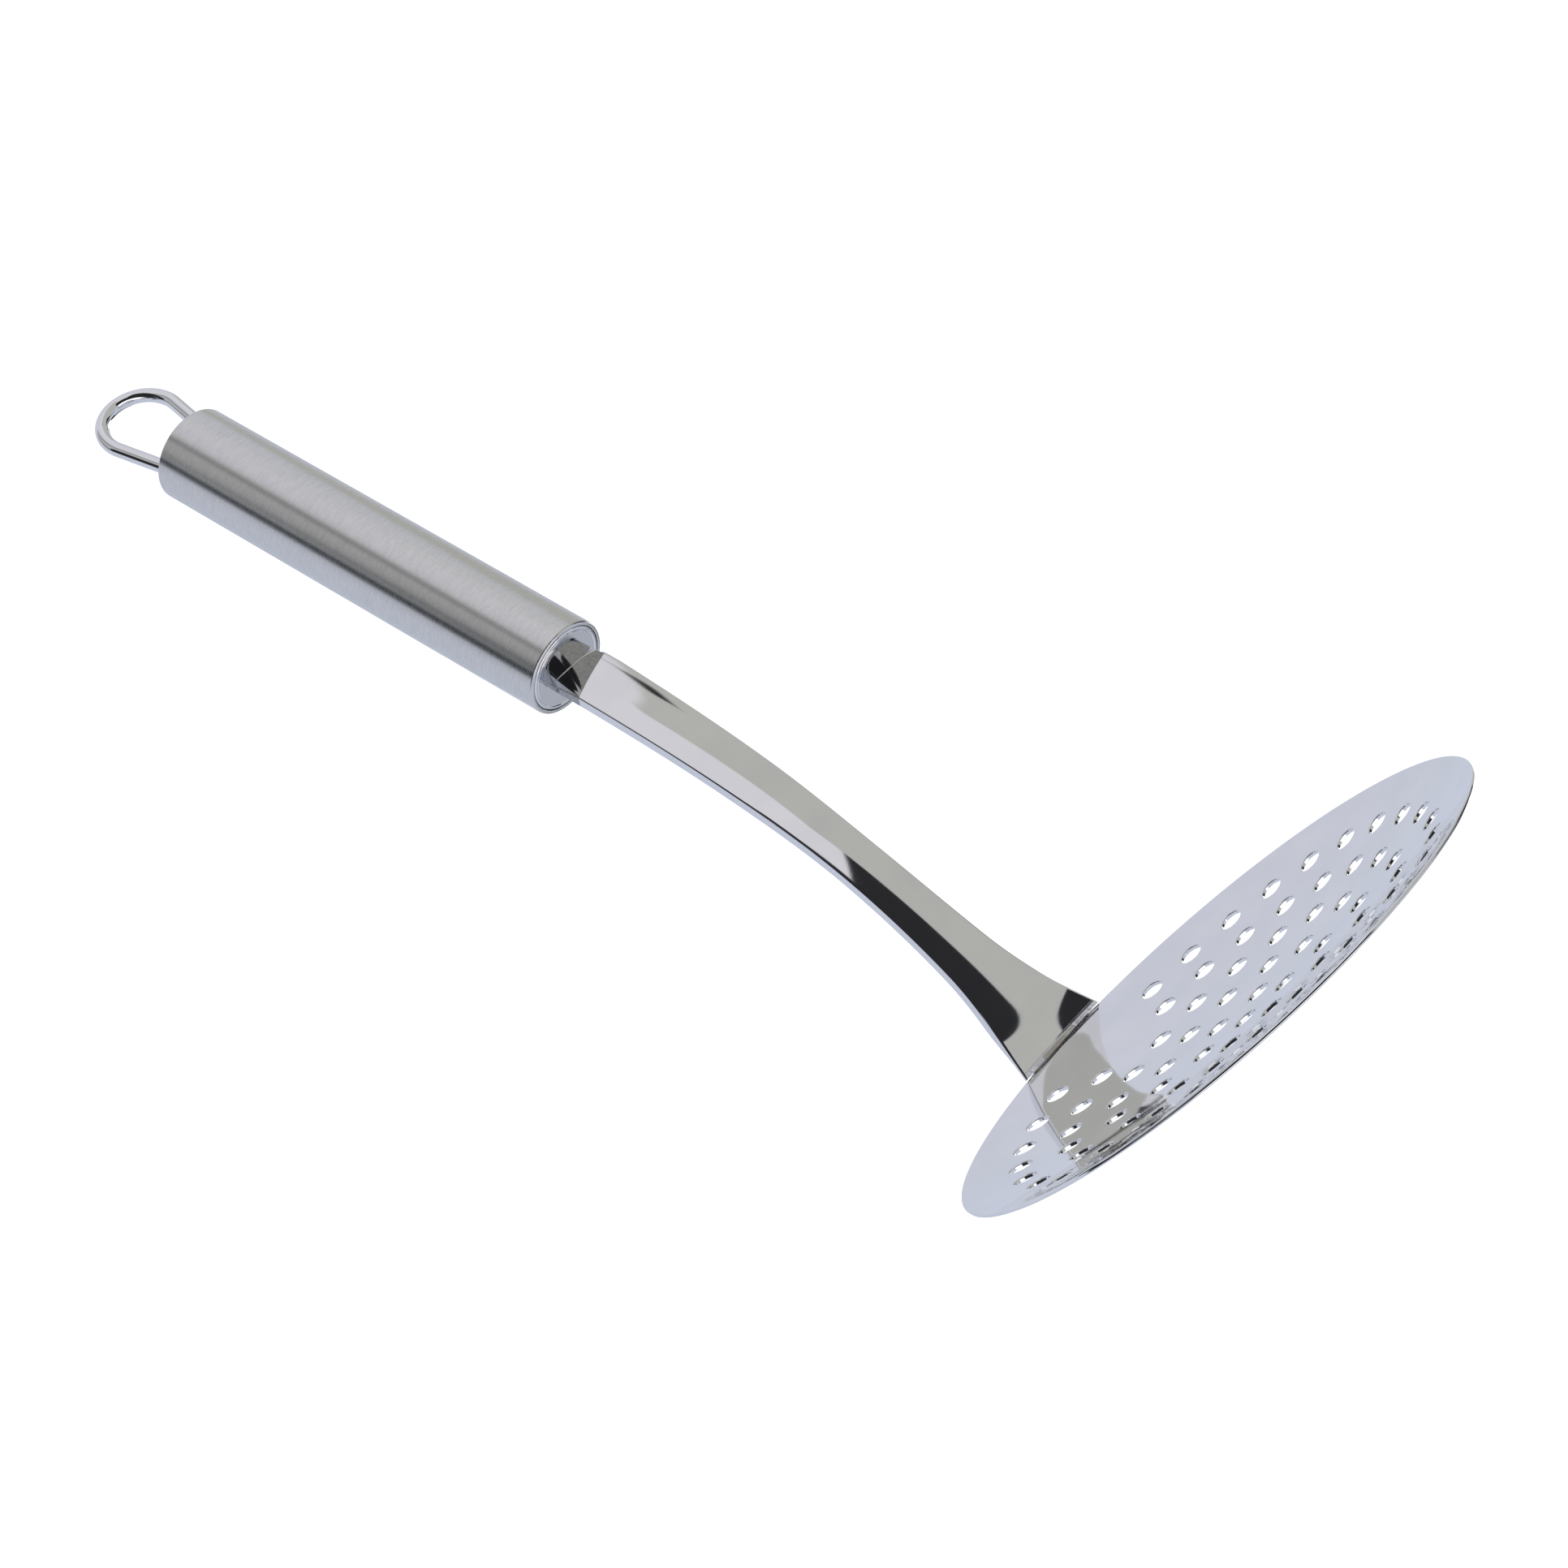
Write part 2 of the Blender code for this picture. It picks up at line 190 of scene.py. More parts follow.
def dish_sheet(depth, rim_back, hole_back):
    """The pressed face of the sheet, with the holes left open."""
    centres = hole_centres()
    rings = [(Vector((0.0, 0.0)), BLANK_RADIUS - rim_back, RIM_STEPS)]
    rings += [(centre, HOLE_RADIUS + hole_back, HOLE_STEPS) for centre in centres]
    flats, borders = [], []
    for middle, radius, steps in rings:
        start = len(flats)
        for i in range(steps):
            angle = math.tau * i / steps
            flats.append(middle + Vector((math.cos(angle), math.sin(angle))) * radius)
            borders.append((start + i, start + (i + 1) % steps))
    clear = HOLE_RADIUS + hole_back + 0.4 * GRID_STEP
    for ring in range(int((BLANK_RADIUS - rim_back) / GRID_STEP)):
        for i in range(max(1, 6 * ring)):
            angle = math.tau * (i + 0.5) / max(1, 6 * ring)
            spot = Vector((math.cos(angle), math.sin(angle))) * ring * GRID_STEP
            if all((spot - centre).length > clear for centre in centres):
                flats.append(spot)
    flats, _, faces, _, _, _ = delaunay_2d_cdt(flats, borders, [], 0, 1e-9)
    kept = []
    for face in faces:
        middle = sum((flats[i] for i in face), Vector((0.0, 0.0))) / len(face)
        if all((middle - centre).length > HOLE_RADIUS + 0.5 * hole_back for centre in centres):
            kept.append(face)
    placed = [pressed(flat, depth) for flat in flats]
    side = 1 if depth == 0 else -1
    return [point for point, up in placed], [up * side for point, up in placed], kept


def nodes_of(name, roughness, metallic=1.0):
    """A new metal with its shader, ready for its own detail."""
    material = bpy.data.materials.new(name)
    material.use_nodes = True
    tree = material.node_tree
    shader = tree.nodes["Principled BSDF"]
    shader.inputs["Metallic"].default_value = metallic
    shader.inputs["Roughness"].default_value = roughness
    place = tree.nodes.new("ShaderNodeTexCoord")
    return material, tree, shader, place.outputs["Object"]


def noise(tree, where, size, detail, stretch=(1.0, 1.0, 1.0)):
    """Noise whose lumps are about size metres across, drawn out along an axis by stretch."""
    mapping = tree.nodes.new("ShaderNodeMapping")
    mapping.inputs["Scale"].default_value = [1 / (size * s) for s in stretch]
    texture = tree.nodes.new("ShaderNodeTexNoise")
    texture.inputs["Scale"].default_value = 1.0
    texture.inputs["Detail"].default_value = detail
    tree.links.new(where, mapping.inputs["Vector"])
    tree.links.new(mapping.outputs["Vector"], texture.inputs["Vector"])
    return texture.outputs["Fac"]


def ranged(tree, value, low, high):
    """The middle half of a noise, spread over low to high."""
    spread = tree.nodes.new("ShaderNodeMapRange")
    spread.inputs["From Min"].default_value = 0.25
    spread.inputs["From Max"].default_value = 0.75
    spread.inputs["To Min"].default_value = low
    spread.inputs["To Max"].default_value = high
    tree.links.new(value, spread.inputs["Value"])
    return spread.outputs["Result"]


def tinted(tree, shader, value, dark, light):
    """Base colour between two close tints."""
    mix = tree.nodes.new("ShaderNodeMix")
    mix.data_type = "RGBA"
    mix.inputs["A"].default_value = (*dark, 1.0)
    mix.inputs["B"].default_value = (*light, 1.0)
    tree.links.new(ranged(tree, value, 0.0, 1.0), mix.inputs["Factor"])
    tree.links.new(mix.outputs["Result"], shader.inputs["Base Color"])


def raised(tree, shader, value, height, below=None):
    """Adds a relief of that height in metres to the shader's normal."""
    bump = tree.nodes.new("ShaderNodeBump")
    bump.inputs["Strength"].default_value = 1.0
    bump.inputs["Distance"].default_value = height
    tree.links.new(value, bump.inputs["Height"])
    if below is not None:
        tree.links.new(below, bump.inputs["Normal"])
    tree.links.new(bump.outputs["Normal"], shader.inputs["Normal"])
    return bump.outputs["Normal"]


def mirror_steel(name, wave=0.02 * MM, wave_size=14 * MM):
    """Polished stainless: nearly a mirror, with faint cloudiness, polishing hairlines and the
    slow waves that pressing and buffing leave."""
    material, tree, shader, where = nodes_of(name, 0.04)
    tinted(tree, shader, noise(tree, where, 9 * MM, 3), (0.80, 0.81, 0.83), (0.87, 0.87, 0.88))
    hairs = noise(tree, where, 0.12 * MM, 2, stretch=(1, 40, 40))
    cloud = noise(tree, where, 6 * MM, 4)
    tree.links.new(ranged(tree, cloud, 0.025, 0.07), shader.inputs["Roughness"])
    slow = raised(tree, shader, noise(tree, where, wave_size, 1), wave)
    raised(tree, shader, hairs, 0.0004 * MM, below=slow)
    return material


dish_steel = mirror_steel("dish_mirror_steel", wave=0.05 * MM)
inside = dish_sheet(0.0, RIM_ROLL, PUNCH_ROLL)
outside = dish_sheet(SHEET, RIM_ROLL, PUNCH_BREAK)
walls = [edge_wall(c, HOLE_RADIUS, HOLE_STEPS, -1, PUNCH_ROLL, PUNCH_BREAK) for c in hole_centres()]
walls.append(edge_wall(Vector((0.0, 0.0)), BLANK_RADIUS, RIM_STEPS, 1, RIM_ROLL, RIM_ROLL))
dish = join_patches("pressed_dish", [inside, outside] + walls, [dish_steel])
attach(dish, "root")
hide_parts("dish")

# ---- Handle's own frame --------------------------------------------------------------------
# The handle's axis runs from the front cap's face to the rear cap's. Pieces of the handle are
# made about it: local +Z to the rear, local +X up, and local Y across the tool.

HANDLE_LENGTH = 92.3 * MM               # from the front cap's face to the rear cap's

mounts = {mount["name"]: mount for mount in frame["record"]["mounts"]}
rear_point = Vector(mounts["handle_end_face"]["pos_m"])
BACK = Vector(mounts["handle_end_face"]["axis"]).normalized()
LEAN = math.atan2(-BACK.x, BACK.z)
HANDLE = Matrix.Translation(rear_point - BACK * HANDLE_LENGTH) @ Matrix.Rotation(-LEAN, 4, "Y")

# ---- Shank --------------------------------------------------------------------------------
# A strip of stainless, thick and lightly crowned, with a foot that flares and thins to follow
# the dish's rim. It bends over to the handle, where its end is pressed up into a half-round
# neck as wide as the cap's stub. Its edges are rounded and it is polished along its length.

FOOT_X = -51.7 * MM
FOOT_LEAN = math.radians(10.3)
STRIP_LEAN = math.radians(34.3)
FOOT_PULL = 44.0 * MM
STRIP_PULL = 45.0 * MM
FOOT_THICKNESS = 1.0 * MM
STRIP_THICKNESS = 2.4 * MM
STRIP_CROWN = 0.5 * MM
THICKENING = 0.11                       # share of the height where it is full thickness
STRIP_STATIONS = 110
EDGE_RADIUS = 0.45 * MM
# (share of the strip's height, half width): flared foot, waist, neck
STRIP_WIDTHS = (
    (0.00, 9.9 * MM),
    (0.11, 6.95 * MM),
    (0.22, 5.25 * MM),
    (0.46, 4.35 * MM),
    (0.70, 4.80 * MM),
    (1.00, 5.40 * MM),
)
STRIP_END = 8.4 * MM                    # from the cap's face to the end of the even strip
CREASE = 6.45 * MM                      # from the cap's face to the crease, in the middle
CREASE_SKEW = 0.30                      # how much nearer the crease is, per width towards +Y
NECK_HALF_WIDTH = 4.75 * MM
NECK_ASIDE = -0.6 * MM                  # the half-round sits a little off the strip's middle
NECK_SIDE = 1.5 * MM
NECK_CROWN = 4.6 * MM
NECK_FULLNESS = 2.5                     # 2 is a half ellipse, more is squarer
NOSE_FULLNESS = 1.25                    # 1 slopes evenly to the crease, more is rounder
SEAM_BACK = 0.30 * MM                   # from the cap's face to the seam at the flat back
SEAM_RAKE = 0.72                        # how much further forward the seam is, per height
SEAM_SHUT = 0.03 * MM
SEAM_OPEN = 0.32 * MM                   # the seam gapes at its +Y end
SEAM_ROLL = 0.10 * MM
SEAM_ROLL_OPEN = 0.70 * MM
EDGE_STEPS = 6
FACE_STEPS = 24
SEAM_STEPS = 5
NECK_STEPS = 16
GROUND = 1                              # number of the dull material, beside the mirror's 0


def half_width_at(share):
    """Half width of the strip at a share of its height, smooth through STRIP_WIDTHS."""
    knots = STRIP_WIDTHS
    last = len(knots) - 1
    slopes = []
    for i in range(len(knots)):
        before, after = knots[max(i - 1, 0)], knots[min(i + 1, last)]
        slopes.append((after[1] - before[1]) / (after[0] - before[0]))
    i = max(k for k in range(last) if share >= knots[k][0] or k == 0)
    (s0, w0), (s1, w1) = knots[i], knots[i + 1]
    span = s1 - s0
    u = min(max((share - s0) / span, 0.0), 1.0)
    lead_in = slopes[i] * span * u * (1 - u) ** 2
    lead_out = slopes[i + 1] * span * u * u * (1 - u)
    return w0 + (w1 - w0) * u * u * (3 - 2 * u) + lead_in - lead_out


def strip_line(t):
    """Point and direction, at t from 0 to 1, of the line midway between the strip's edges."""
    bend = HANDLE @ Vector((STRIP_THICKNESS, 0.0, -STRIP_END))
    start = RIM_CENTRE + Vector((FOOT_X, 0.0, 0.0))
    out = Vector((-math.sin(FOOT_LEAN), 0.0, math.cos(FOOT_LEAN)))
    into = Vector((-math.sin(STRIP_LEAN), 0.0, math.cos(STRIP_LEAN)))
    p0, p1, p2, p3 = start, start + out * FOOT_PULL, bend - into * STRIP_PULL, bend
    s = 1 - t
    point = s**3 * p0 + 3 * s * s * t * p1 + 3 * s * t * t * p2 + t**3 * p3
    along = s * s * (p1 - p0) + 2 * s * t * (p2 - p1) + t * t * (p3 - p2)
    return point, along.normalized()


def outline(half_width, side, crown, dome, edge):
    """Half of a crowned section as (across, height, normal across, normal height), from the
    middle of the flat back to the middle of the face. dome goes from 0, a shallow crown, to
    1, a half ellipse that is tangent to the sides."""
    def face(across):
        t = min(abs(across) / half_width, 1.0)
        full = (1 - t**NECK_FULLNESS)**(1 / NECK_FULLNESS)
        return side + crown * ((1 - dome) * (1 - t * t) + dome * full)

    def lean_at(across):
        step = 1e-4 * half_width
        inner, outer = max(across - step, 0.0), min(across + step, half_width)
        return math.atan2(face(inner) - face(outer), outer - inner)

    back_edge = min(edge, side / 3)
    half = [(0.0, 0.0, 0.0, -1.0), (half_width - back_edge, 0.0, 0.0, -1.0)]
    for i in range(1, 5):
        turn = math.pi / 2 * (i / 4 - 1)
        c, s = math.cos(turn), math.sin(turn)
        half.append((half_width - back_edge + back_edge * c, back_edge + back_edge * s, c, s))
    end = half_width - edge * (1 - dome)
    lean = lean_at(end)
    radius = max(edge * (1 - dome), 1e-6)
    centre = (half_width - radius, face(end) - radius * math.cos(lean))
    end = centre[0] + radius * math.sin(lean)
    for i in range(EDGE_STEPS + 1):
        turn = (math.pi / 2 - lean) * i / EDGE_STEPS
        c, s = math.cos(turn), math.sin(turn)
        half.append((centre[0] + radius * c, centre[1] + radius * s, c, s))
    lift = half[-1][1] - face(end)
    for i in range(1, FACE_STEPS + 1):
        across = end * math.cos(math.pi / 2 * i / FACE_STEPS)
        lean = lean_at(across) if i < FACE_STEPS else 0.0
        half.append((across, face(across) + lift * (1 - i / FACE_STEPS), math.sin(lean), math.cos(lean)))
    return half


def ring_of(half, spot):
    """The whole section: spot is called with each (across, height, normals) of the half, and
    then of its mirror image."""
    ring = [spot(*entry) for entry in half]
    ring += [spot(-a, h, -na, nh) for a, h, na, nh in reversed(half[1:-1])]
    return ring


def square_up(rings):
    """Makes each normal square to the strip's own line along the length."""
    rows = []
    for r, ring in enumerate(rings):
        before, after = rings[max(r - 1, 0)], rings[min(r + 1, len(rings) - 1)]
        row = []
        for c, (point, normal) in enumerate(ring):
            along = (after[c][0] - before[c][0]).normalized()
            row.append((point, (normal - along * normal.dot(along)).normalized()))
        rows.append(row)
    return rows


def strip_ring(t):
    """The strip's section at t, thin and curled to the rim at the foot."""
    middle, along = strip_line(t)
    facing = Vector((along.z, 0.0, -along.x))
    start, end = strip_line(0.0)[0].z, strip_line(1.0)[0].z
    share = (middle.z - start) / (end - start)
    full = min(share / THICKENING, 1.0)
    full = full * full * (3 - 2 * full)
    side = FOOT_THICKNESS + (STRIP_THICKNESS - FOOT_THICKNESS) * full
    half = outline(half_width_at(share), side, STRIP_CROWN * full, 0.0, min(EDGE_RADIUS, side / 2.5))

    def spot(across, height, n_across, n_height):
        curl = (1 - full) * across**2 / (2 * RIM_RADIUS)
        point = middle + Vector((0.0, across, 0.0)) + facing * (height - side + curl)
        tip = -(1 - full) * across / RIM_RADIUS * n_height
        return point, (Vector((0.0, n_across + tip, 0.0)) + facing * n_height).normalized()

    return ring_of(half, spot)


def end_face(ring, normal):
    """A flat end inside a ring of (point, normal)."""
    middle = sum((point for point, _ in ring), Vector()) / len(ring)
    return grid([[(point, normal) for point, _ in ring], [(middle, normal)] * len(ring)], closed=True)


def section_points(half, aside, forward_at):
    """A section about the handle's axis, in the handle's frame."""
    return ring_of(half, lambda across, height, *_: Vector((height, across + aside, -forward_at(across))))


half_round = outline(NECK_HALF_WIDTH, NECK_SIDE, NECK_CROWN, 1.0, EDGE_RADIUS)
flat_strip = outline(STRIP_WIDTHS[-1][1], STRIP_THICKNESS, STRIP_CROWN, 0.0, EDGE_RADIUS)
nose_start = section_points(half_round, NECK_ASIDE, lambda across: 0.0)
nose_end = section_points(flat_strip, 0.0, lambda across: CREASE - CREASE_SKEW * across)


def nose_point(c, share):
    """The nose runs from a half-round on the cap's face down to the crease on the strip."""
    start, end = nose_start[c], nose_end[c]
    point = start.lerp(end, share)
    point.x = start.x + (end.x - start.x) * share**NOSE_FULLNESS
    return point


def nose_normal(c, share):
    """Which way is forward along the nose there, and which way is out of it."""
    step = 0.02
    run = nose_point(c, min(share + step, 1.0)) - nose_point(c, max(share - step, 0.0))
    here = nose_point(c, share)
    ends = []
    for way in (1, -1):
        k = c
        while (nose_point(k, share) - here).length < 0.01 * MM:
            k = (k + way) % len(nose_start)
        ends.append(nose_point(k, share))
    out = run.cross(ends[0] - ends[1]).normalized()
    inside = Vector((NECK_SIDE, NECK_ASIDE / 2, here.z))
    return run.normalized(), out * math.copysign(1, out.dot(here - inside))


def seam_share(c):
    """Where along the nose the raked seam crosses it."""
    low, high = 0.0, 1.0
    for _ in range(30):
        middle = (low + high) / 2
        point = nose_point(c, middle)
        if -point.z < SEAM_BACK + SEAM_RAKE * point.x:
            low = middle
        else:
            high = middle
    return low


def gaping(c):
    """How open the seam is: 0 on the -Y side, 1 at the +Y edge."""
    share = (nose_start[c].y - NECK_ASIDE) / NECK_HALF_WIDTH + 0.1
    return min(max(share, 0.0), 1.0) ** 2


def seam_ring(side, turn, sink=0.0):
    """The stub's edge of the seam (side -1) or the neck's (side 1), rolled down by turn."""
    ring = []
    for c in range(len(nose_start)):
        open_here = gaping(c)
        roll, gap = SEAM_ROLL, 0.0
        if side > 0:
            roll += (SEAM_ROLL_OPEN - SEAM_ROLL) * open_here
            gap = SEAM_SHUT + (SEAM_OPEN - SEAM_SHUT) * open_here
        length = (nose_end[c] - nose_start[c]).length
        share = seam_share(c) + (gap + side * roll) / length
        ahead, out = nose_normal(c, share)
        point = nose_point(c, share) - ahead * side * roll * math.sin(turn)
        point -= out * (roll * (1 - math.cos(turn)) + sink)
        normal = out * math.cos(turn) - ahead * side * math.sin(turn)
        ring.append((point, normal))
    return ring


def in_world(rows):
    """Rows of (point, normal) from the handle's frame, put where the handle is."""
    turn = HANDLE.to_3x3()
    return [[(HANDLE @ point, turn @ normal) for point, normal in row] for row in rows]


strip = square_up([strip_ring(i / STRIP_STATIONS) for i in range(STRIP_STATIONS + 1)])
strip.append([(HANDLE @ point, own[1]) for point, own in zip(nose_end, strip[-1])])
neck_start = seam_ring(1, 0.0)
neck = []
for i in range(NECK_STEPS + 1):
    ring = []
    for c, (point, _) in enumerate(neck_start):
        first = (point - nose_start[c]).z / (nose_end[c] - nose_start[c]).z
        share = 1 + (first - 1) * i / NECK_STEPS
        ring.append((nose_point(c, share), nose_normal(c, share)[1]))
    neck.append(ring)
neck = in_world(neck)
seam_side = in_world([seam_ring(1, math.pi / 2 * i / SEAM_STEPS) for i in range(SEAM_STEPS + 1)])
shank_patches = [grid(strip, True), (*grid(neck, True), GROUND), grid(seam_side, True)]
shank_patches.append(end_face(strip[0], Vector((0.0, 0.0, -1.0))))
shank_patches.append(end_face(seam_side[-1], BACK))


def ground_steel(name):
    """Steel that was ground round the weld and only half polished again: duller and grainy."""
    material, tree, shader, where = nodes_of(name, 0.1)
    tinted(tree, shader, noise(tree, where, 0.5 * MM, 3), (0.30, 0.30, 0.31), (0.44, 0.44, 0.45))
    tree.links.new(ranged(tree, noise(tree, where, 0.3 * MM, 3), 0.05, 0.13), shader.inputs["Roughness"])
    raised(tree, shader, noise(tree, where, 0.2 * MM, 2), 0.0015 * MM)
    return material


shank_steel = mirror_steel("shank_mirror_steel", wave=0.01 * MM)
nose_steel = ground_steel("nose_ground_steel")
shank = join_patches("formed_shank", shank_patches, [shank_steel, nose_steel])
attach(shank, "root")
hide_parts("shank")

# ---- Foot weld ----------------------------------------------------------------------------
# The shank's foot is welded edge on to the dish's rim: a bead along the outside, brushed over
# but not polished, and a fine line of fused metal along the inside. Heat has left it straw.

FOOT_WELD_SHARE = 0.85
FOOT_HALF_WIDTH = STRIP_WIDTHS[0][1]
BEAD_STEPS = 40


def bead(centres, radii, sides=14):
    """A round bead through the centres, drawn in to nothing at both ends."""
    rows = []
    last = len(centres) - 1
    for i, (centre, radius) in enumerate(zip(centres, radii)):
        along = (centres[min(i + 1, last)] - centres[max(i - 1, 0)]).normalized()
        side = along.orthogonal().normalized()
        up = along.cross(side)
        row = []
        for k in range(sides):
            turn = math.tau * k / sides
            out = side * math.cos(turn) + up * math.sin(turn)
            row.append((centre + out * radius, out))
        rows.append(row)
    return grid(rows, closed=True)


def beaded(share, low, high):
    """Radius along a bead: full in the middle, rippled, and nothing at its ends."""
    ends = min(1.0, 6 * share, 6 * (1 - share))
    ripple = 0.5 + 0.5 * math.sin(share * 61.0) * math.cos(share * 23.0)
    return (low + (high - low) * ripple) * math.sqrt(max(ends, 1e-6))


def weld_steel(name):
    """Brushed-over weld metal, straw to brown from the heat."""
    material, tree, shader, where = nodes_of(name, 0.3)
    tinted(tree, shader, noise(tree, where, 2.5 * MM, 3), (0.46, 0.42, 0.36), (0.72, 0.71, 0.69))
    tree.links.new(ranged(tree, noise(tree, where, 0.8 * MM, 3), 0.15, 0.4), shader.inputs["Roughness"])
    raised(tree, shader, noise(tree, where, 0.5 * MM, 3), 0.015 * MM)
    return material


bead_steel = weld_steel("weld_bead_steel")
half_angle = FOOT_WELD_SHARE * FOOT_HALF_WIDTH / RIM_RADIUS
rim_edge = RIM_RADIUS * (1 + SHEET / SPHERE)


def along_rim(radius, drop, half_angle):
    """Points along the rim where the foot meets it, a little below its edge."""
    points = []
    for i in range(BEAD_STEPS + 1):
        angle = math.pi - half_angle + 2 * half_angle * i / BEAD_STEPS
        points.append(RIM_CENTRE + Vector((radius * math.cos(angle), radius * math.sin(angle), -drop)))
    return points


outer_line = along_rim(rim_edge + 0.25 * MM, 0.35 * MM, half_angle)
outer_radii = [beaded(i / BEAD_STEPS, 0.40 * MM, 0.50 * MM) for i in range(BEAD_STEPS + 1)]
inner_line = along_rim(RIM_RADIUS - 0.28 * MM, 0.02 * MM, 1.12 * half_angle)
inner_radii = [beaded(i / BEAD_STEPS, 0.05 * MM, 0.07 * MM) for i in range(BEAD_STEPS + 1)]
foot_weld = join_patches(
    "foot_weld_bead", [bead(outer_line, outer_radii), bead(inner_line, inner_radii)], [bead_steel]
)
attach(foot_weld, "root")
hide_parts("foot_weld")

# ---- Front cap ----------------------------------------------------------------------------
# A drawn stainless cap that closes the handle's front end: a rolled ring just inside the
# tube, a flat face, and a half-round stub on it that the shank's neck is welded to.

CAP_RADIUS = 8.1 * MM
CAP_SKIRT = 8.0 * MM
CAP_WALL = 1.0 * MM
RING_TOP = 0.10 * MM
STUB_FILLET = 0.15 * MM
FILLET_STEPS = 4
STUB_STEPS = 8


def rounded(corners, arc_steps=5):
    """A polyline of (x, y, radius) corners with round corners, as (x, y, normal x, normal y).
    The normals are on the right-hand side of the way it runs."""
    path = []
    for i, (x, y, radius) in enumerate(corners):
        here = Vector((x, y))
        if i in (0, len(corners) - 1):
            other = corners[1] if i == 0 else corners[-2]
            run = Vector(other[:2]) - here if i == 0 else here - Vector(other[:2])
            run.normalize()
            path.append((x, y, run.y, -run.x))
            continue
        into = (here - Vector(corners[i - 1][:2])).normalized()
        out = (Vector(corners[i + 1][:2]) - here).normalized()
        turn = math.atan2(into.x * out.y - into.y * out.x, into.dot(out))
        cut = radius * math.tan(abs(turn) / 2)
        start = here - into * cut
        normal = Vector((into.y, -into.x))
        centre = start - normal * radius * math.copysign(1, turn)
        for k in range(arc_steps + 1):
            angle = turn * k / arc_steps
            c, s = math.cos(angle), math.sin(angle)
            n = Vector((normal.x * c - normal.y * s, normal.x * s + normal.y * c))
            point = centre + n * radius * math.copysign(1, turn)
            path.append((point.x, point.y, n.x, n.y))
    return path


def turned(corners, steps=144):
    """A patch turned about the local Z axis from (radius, height, corner radius) corners."""
    rows = []
    for radius, height, n_radius, n_height in rounded(corners):
        row = []
        for i in range(steps):
            turn = math.tau * i / steps
            c, s = math.cos(turn), math.sin(turn)
            normal = Vector((n_radius * c, n_radius * s, n_height))
            row.append((Vector((radius * c, radius * s, height)), normal))
        rows.append(row)
    return grid(rows, closed=True)


cap_corners = [
    (0.0, 0.0, 0.0),
    (7.22 * MM, 0.0, 0.05 * MM),
    (7.34 * MM, 0.12 * MM, 0.06 * MM),
    (7.48 * MM, -RING_TOP, 0.10 * MM),
    (CAP_RADIUS, -RING_TOP, 0.38 * MM),
    (CAP_RADIUS, CAP_SKIRT, 0.1 * MM),
    (CAP_RADIUS - CAP_WALL, CAP_SKIRT, 0.1 * MM),
    (CAP_RADIUS - CAP_WALL, CAP_WALL, 0.3 * MM),
    (0.0, CAP_WALL, 0.0),
]
stub = []
for i in range(FILLET_STEPS + 1):
    turn = math.pi / 2 * i / FILLET_STEPS
    ring = []
    for c in range(len(nose_start)):
        share = STUB_FILLET * (1 - math.cos(turn)) / (nose_end[c] - nose_start[c]).length
        out = nose_normal(c, share)[1]
        normal = out * math.sin(turn) - Vector((0.0, 0.0, math.cos(turn)))
        ring.append((nose_point(c, share) + out * STUB_FILLET * (1 - math.sin(turn)), normal))
    stub.append(ring)
for i in range(1, STUB_STEPS + 1):
    ring = []
    for c, (point, _) in enumerate(seam_ring(-1, 0.0)):
        first = STUB_FILLET / (nose_end[c] - nose_start[c]).length
        last = (point - nose_start[c]).z / (nose_end[c] - nose_start[c]).z
        share = first + (last - first) * i / STUB_STEPS
        ring.append((nose_point(c, share), nose_normal(c, share)[1]))
    stub.append(ring)
stub += [seam_ring(-1, math.pi / 2 * i / SEAM_STEPS) for i in range(1, SEAM_STEPS + 1)]
stub_end = end_face(stub[-1], Vector((0.0, 0.0, -1.0)))
cap_steel = mirror_steel("cap_mirror_steel", wave=0.001 * MM, wave_size=6 * MM)
front_cap = join_patches(
    "front_cap_with_stub",
    [turned(cap_corners), (*grid(stub, True), GROUND), (*stub_end, GROUND)],
    [cap_steel, nose_steel],
    HANDLE,
)
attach(front_cap, "root")
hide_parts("front_cap")

# ---- Neck weld ----------------------------------------------------------------------------
# The seam between the cap's stub and the shank's neck is welded: a bead under the flat back,
# and weld metal down in the seam, which the polishing has cut back until it shows as a crack
# with bright spots.

BACK_SHARE = 0.8                        # of the neck's width, along its flat back
BACK_DROP = 0.45 * MM
SEAM_DEPTH = 0.06 * MM
SEAM_FIRST = 14                         # point of the section where the bead over the face starts


def seam_bead_line(depth, first, last):
    """Points down in the seam, over the face, from one point of the section to another."""
    ring = seam_ring(1, math.pi / 2, sink=depth)
    return [ring[c][0] for c in range(first, last)]


back_line, back_radii = [], []
for i in range(BEAD_STEPS + 1):
    aside = NECK_ASIDE + NECK_HALF_WIDTH * (2 * i / BEAD_STEPS - 1) * BACK_SHARE
    back_line.append(Vector((-BACK_DROP, aside, -SEAM_BACK)))
    back_radii.append(beaded(i / BEAD_STEPS, 0.38 * MM, 0.5 * MM))
seam_line = seam_bead_line(SEAM_DEPTH, SEAM_FIRST, len(nose_start) - SEAM_FIRST + 1)
seam_radii = [beaded(i / (len(seam_line) - 1), 0.10 * MM, 0.17 * MM) for i in range(len(seam_line))]
neck_weld = join_patches(
    "neck_weld_bead", [bead(back_line, back_radii), bead(seam_line, seam_radii)], [bead_steel], HANDLE
)
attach(neck_weld, "root")
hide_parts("neck_weld")

# ---- Handle tube --------------------------------------------------------------------------
# A seamless stainless tube, brushed round and round on a belt to a satin, with its ends just
# rounded over. The caps are pressed and bonded into it.

TUBE_RADIUS = 9.0 * MM
TUBE_WALL = 0.8 * MM
TUBE_FRONT = -0.1 * MM
TUBE_REAR = 92.6 * MM


